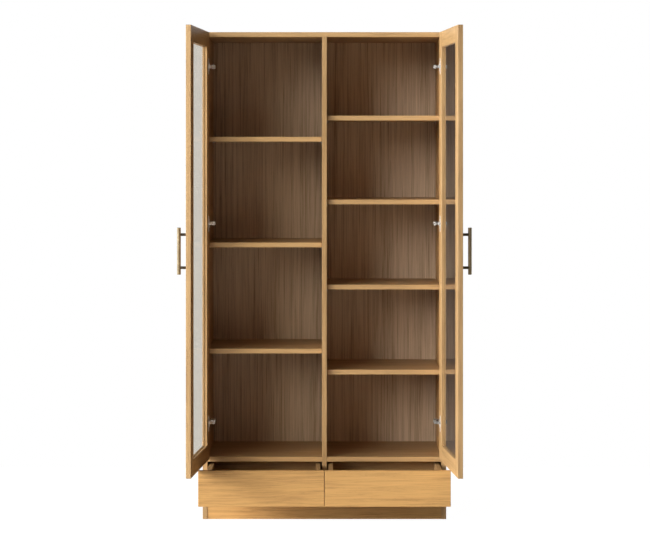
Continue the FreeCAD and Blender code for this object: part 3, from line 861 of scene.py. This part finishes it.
class BOOKCASE_OT_hinges(bpy.types.Operator):
    """Plates the concealed hinges and adds their screws"""

    bl_idname = "bookcase.hinges"
    bl_label = "Finish the hinges"

    def execute(self, context):
        finish = context.scene.bookcase_finish
        fittings = context.scene.bookcase_fittings
        # Painted light and shade: the light nickel lifts the left hinges in the door's shade, and the
        # right ones are darkened again.
        nickel = plated("nickel_steel", finish.nickel, roughness=0.46, metallic=0.6, right_shade=0.3)
        cup_nickel = plated("cup_nickel", finish.nickel, roughness=0.46, metallic=0.3)
        zinc = plated("zinc_steel", finish.zinc, roughness=0.38, metallic=0.6)
        for node in ("hinge_arms", "hinge_plates"):
            dress(node, nickel)
        for node in ("hinge_pins", "shelf_pins"):
            dress(node, zinc)
        for side in SIDES:
            dress(f"{side}_hinge_cups", cup_nickel)
            dress(f"{side}_hinge_links", nickel)
        head = cross_headed(fittings.screw_head / 2, fittings.screw_height)
        adjuster = cross_headed(fittings.adjuster_head / 2, fittings.screw_height)
        self.plate_screws(fittings, head, zinc)
        self.arm_screws(adjuster, zinc)
        for side in SIDES:
            self.cup_screws(side, fittings, head, zinc)
        bpy.data.objects.remove(head)
        bpy.data.objects.remove(adjuster)
        return {"FINISHED"}

    @staticmethod
    def plate_screws(fittings, head, material):
        """Two screws through each plate's wings into the side."""
        places = []
        for side in SIDES:
            inwards = ACROSS * -WAY[side]
            for low, high in boxes_of("hinge_plates", side=side):
                wall = high.x if side == "right" else low.x
                x = wall + inwards.x * PLATE_WING
                y = low.y + PLATE_SCREWS_BEHIND
                for z in spaced((low.z + high.z) / 2, fittings.plate_screw_spacing):
                    places.append(standing((x, y, z), inwards))
        set_out(head, places, "hinge_plate_screws", "carcass", material)

    @staticmethod
    def arm_screws(adjuster, material):
        """The fixing and adjusting screws in each arm's web."""
        places = []
        for side in SIDES:
            for low, high in boxes_of("hinge_arms", side=side):
                x = low.x if side == "right" else high.x
                z = (low.z + high.z) / 2
                for share in ARM_SCREWS:
                    y = low.y + (high.y - low.y) * share
                    places.append(standing((x, y, z), ACROSS * -WAY[side]))
        set_out(adjuster, places, "hinge_arm_screws", "carcass", material)

    @staticmethod
    def cup_screws(side, fittings, head, material):
        """Two screws through each cup's wings into the door."""
        places = []
        rest = opened(side)
        for low, high in boxes_of(f"{side}_hinge_cups", rest.inverted()):
            x = (low.x + high.x) / 2 - WAY[side] * CUP_SCREWS_ASIDE
            for z in spaced((low.z + high.z) / 2, fittings.cup_screw_spacing):
                places.append(rest @ standing((x, high.y, z), BACKWARDS))
        set_out(head, places, f"{side}_cup_screws", f"{side}_door", material)


class BOOKCASE_OT_runners(bpy.types.Operator):
    """Plates the drawer runners and adds their screws"""

    bl_idname = "bookcase.runners"
    bl_label = "Finish the drawer runners"

    def execute(self, context):
        finish = context.scene.bookcase_finish
        fittings = context.scene.bookcase_fittings
        steel = plated("runner_steel", [c * RUNNER_TONE for c in finish.zinc], roughness=0.4)
        zinc = plated("runner_screw_zinc", finish.zinc, roughness=0.34)
        head = cross_headed(fittings.screw_head / 2, fittings.screw_height)
        places = []
        for side in SIDES:
            dress(f"{side}_cabinet_runners", steel)
            dress(f"{side}_drawer_runners", steel)
            low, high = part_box(f"{side}_cabinet_runners")
            z = high.z - fittings.screw_head
            for x, inwards in ((low.x + RUNNER_SHEET, ACROSS), (high.x - RUNNER_SHEET, -ACROSS)):
                for number in range(fittings.runner_screws):
                    share = (number + 0.5) / fittings.runner_screws
                    y = low.y + (high.y - low.y) * share
                    places.append(standing((x, y, z), inwards))
        set_out(head, places, "runner_screws", "carcass", zinc)
        bpy.data.objects.remove(head)
        return {"FINISHED"}


class BOOKCASE_OT_stage(bpy.types.Operator):
    """Sets up the floor, the soft light, the room and the camera"""

    bl_idname = "bookcase.stage"
    bl_label = "Set up the studio"

    def execute(self, context):
        stage = context.scene.bookcase_stage
        self.floor(stage)
        self.light(stage)
        self.room(context.scene, stage)
        self.camera(context.scene, stage)
        context.scene.view_settings.view_transform = "Standard"
        return {"FINISHED"}

    @staticmethod
    def floor(stage):
        """A pale floor that fades into the white of the room."""
        begin()
        middle = stage.floor_behind - stage.floor_size / 2
        bpy.ops.mesh.primitive_plane_add(size=stage.floor_size, location=(0, middle, 0))
        bpy.ops.object.transform_apply(location=True, rotation=True, scale=True)
        floor = bpy.context.object
        floor.name = "floor"
        shade = new_shade("pale_floor")
        seen, through = shade.outputs(
            ("Is Camera Ray", "Is Transmission Ray"), "ShaderNodeLightPath")
        pale = shade.node("ShaderNodeBsdfDiffuse", None, {"Color": FLOOR_COLOUR})
        values = {"Color": WHITE, "Strength": FLOOR_GLOW}
        glow = shade.node("ShaderNodeEmission", None, values)
        soft = shade.node("ShaderNodeBsdfDiffuse", None, {"Color": FLOOR_SHADE})
        bright = shade.node("ShaderNodeAddShader", None, {0: glow, 1: soft})
        values = {0: seen + through, 1: pale, 2: bright}
        floor.data.materials.append(shade.finish(shade.node("ShaderNodeMixShader", None, values)))

    @staticmethod
    def light(stage):
        """A soft square light at the left, aimed at the bookcase's middle."""
        turn, rise = stage.side_turn, stage.side_rise
        towards = Vector((
            -math.sin(turn) * math.cos(rise),
            -math.cos(turn) * math.cos(rise),
            math.sin(rise)))
        begin()
        place = LIGHT_AIM + towards * stage.side_distance
        bpy.ops.object.light_add(type="AREA", location=place)
        light = bpy.context.object
        light.name = "side_light"
        light.rotation_euler = towards.to_track_quat("Z", "Y").to_euler()
        light.data.energy = stage.side_power
        light.data.size = stage.side_size

    @staticmethod
    def room(scene, stage):
        """A white backdrop, and a dimmer room all round with soft bright panels, which lights the
        bookcase. What a pane shows straight behind it is lit apart."""
        scene.world = bpy.data.worlds.new("studio")
        shade = Shade(scene.world)
        direction = shade.node("ShaderNodeTexCoord", out="Generated")
        x, y, z = shade.outputs("XYZ", "ShaderNodeSeparateXYZ", {"Vector": direction})
        turn = shade.math("ARCTAN2", x * -1, y * -1) * math.degrees(1)
        room = stage.room_brightness
        for name, turns, heights in PANELS:
            round_to = shade.math("ABSOLUTE", turn) if name == "rear" else turn
            panel = (shade.within(round_to, turns, SOFT_DEGREES)
                     * shade.within(z, heights, SOFT_HEIGHT))
            room = panel * getattr(stage, name + "_brightness") + room
        left = shade.between(x, SOFT_MIDDLE, -SOFT_MIDDLE)
        ahead = left * (stage.behind_left - stage.behind_right) + stage.behind_right
        beyond = shade.between(y, *STRAIGHT_BEHIND) * (ahead - 1) + 1
        seen, bent, panes = shade.outputs(
            ("Is Camera Ray", "Is Transmission Ray", "Transparent Depth"), "ShaderNodeLightPath")
        passed = shade.between(panes, 0.0, 1.0)
        through = bent + seen * passed
        seen = seen * (1 - passed)
        light = room * (1 - through) + beyond * through
        values = {"Color": WHITE, "Strength": light * (1 - seen) + seen}
        shade.finish(shade.node("ShaderNodeBackground", None, values))

    @staticmethod
    def camera(scene, stage):
        """A level camera straight in front."""
        begin()
        place = (0, -stage.camera_distance, stage.camera_height)
        bpy.ops.object.camera_add(location=place, rotation=(math.pi / 2, 0, 0))
        camera = bpy.context.object
        camera.name = "camera"
        camera.data.lens = stage.camera_lens
        camera.data.shift_y = -stage.camera_drop
        camera.data.shift_x = stage.camera_aside
        scene.camera = camera


class BOOKCASE_PT_panel(bpy.types.Panel):
    """Lists the sizes and colours, and the steps that dress the bookcase"""

    bl_label = "Bookcase"
    bl_idname = "BOOKCASE_PT_panel"
    bl_space_type = "VIEW_3D"
    bl_region_type = "UI"
    bl_category = "Bookcase"

    def draw(self, context):
        for group in GROUPS:
            box = self.layout.box()
            settings = getattr(context.scene, group)
            for key in settings.bl_rna.properties.keys():
                if key not in ("rna_type", "name"):
                    box.prop(settings, key)
        for step in STEPS:
            self.layout.operator(step.bl_idname)


STEPS = (
    BOOKCASE_OT_stage,
    BOOKCASE_OT_carcass,
    BOOKCASE_OT_doors,
    BOOKCASE_OT_drawers,
    BOOKCASE_OT_handles,
    BOOKCASE_OT_hinges,
    BOOKCASE_OT_runners,
)
GROUPS = {
    "bookcase_finish": BookcaseFinish,
    "bookcase_fittings": BookcaseFittings,
    "bookcase_stage": BookcaseStage,
}


def register():
    for group in (*GROUPS.values(), *STEPS, BOOKCASE_PT_panel):
        bpy.utils.register_class(group)
    for name, group in GROUPS.items():
        setattr(bpy.types.Scene, name, PointerProperty(type=group))


def unregister():
    for name in GROUPS:
        delattr(bpy.types.Scene, name)
    for group in (BOOKCASE_PT_panel, *reversed(STEPS), *GROUPS.values()):
        bpy.utils.unregister_class(group)


def main():
    register()
    for step in STEPS:
        part, action = step.bl_idname.split(".")
        getattr(getattr(bpy.ops, part), action)()
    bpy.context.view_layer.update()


if __name__ == "__main__":
    main()
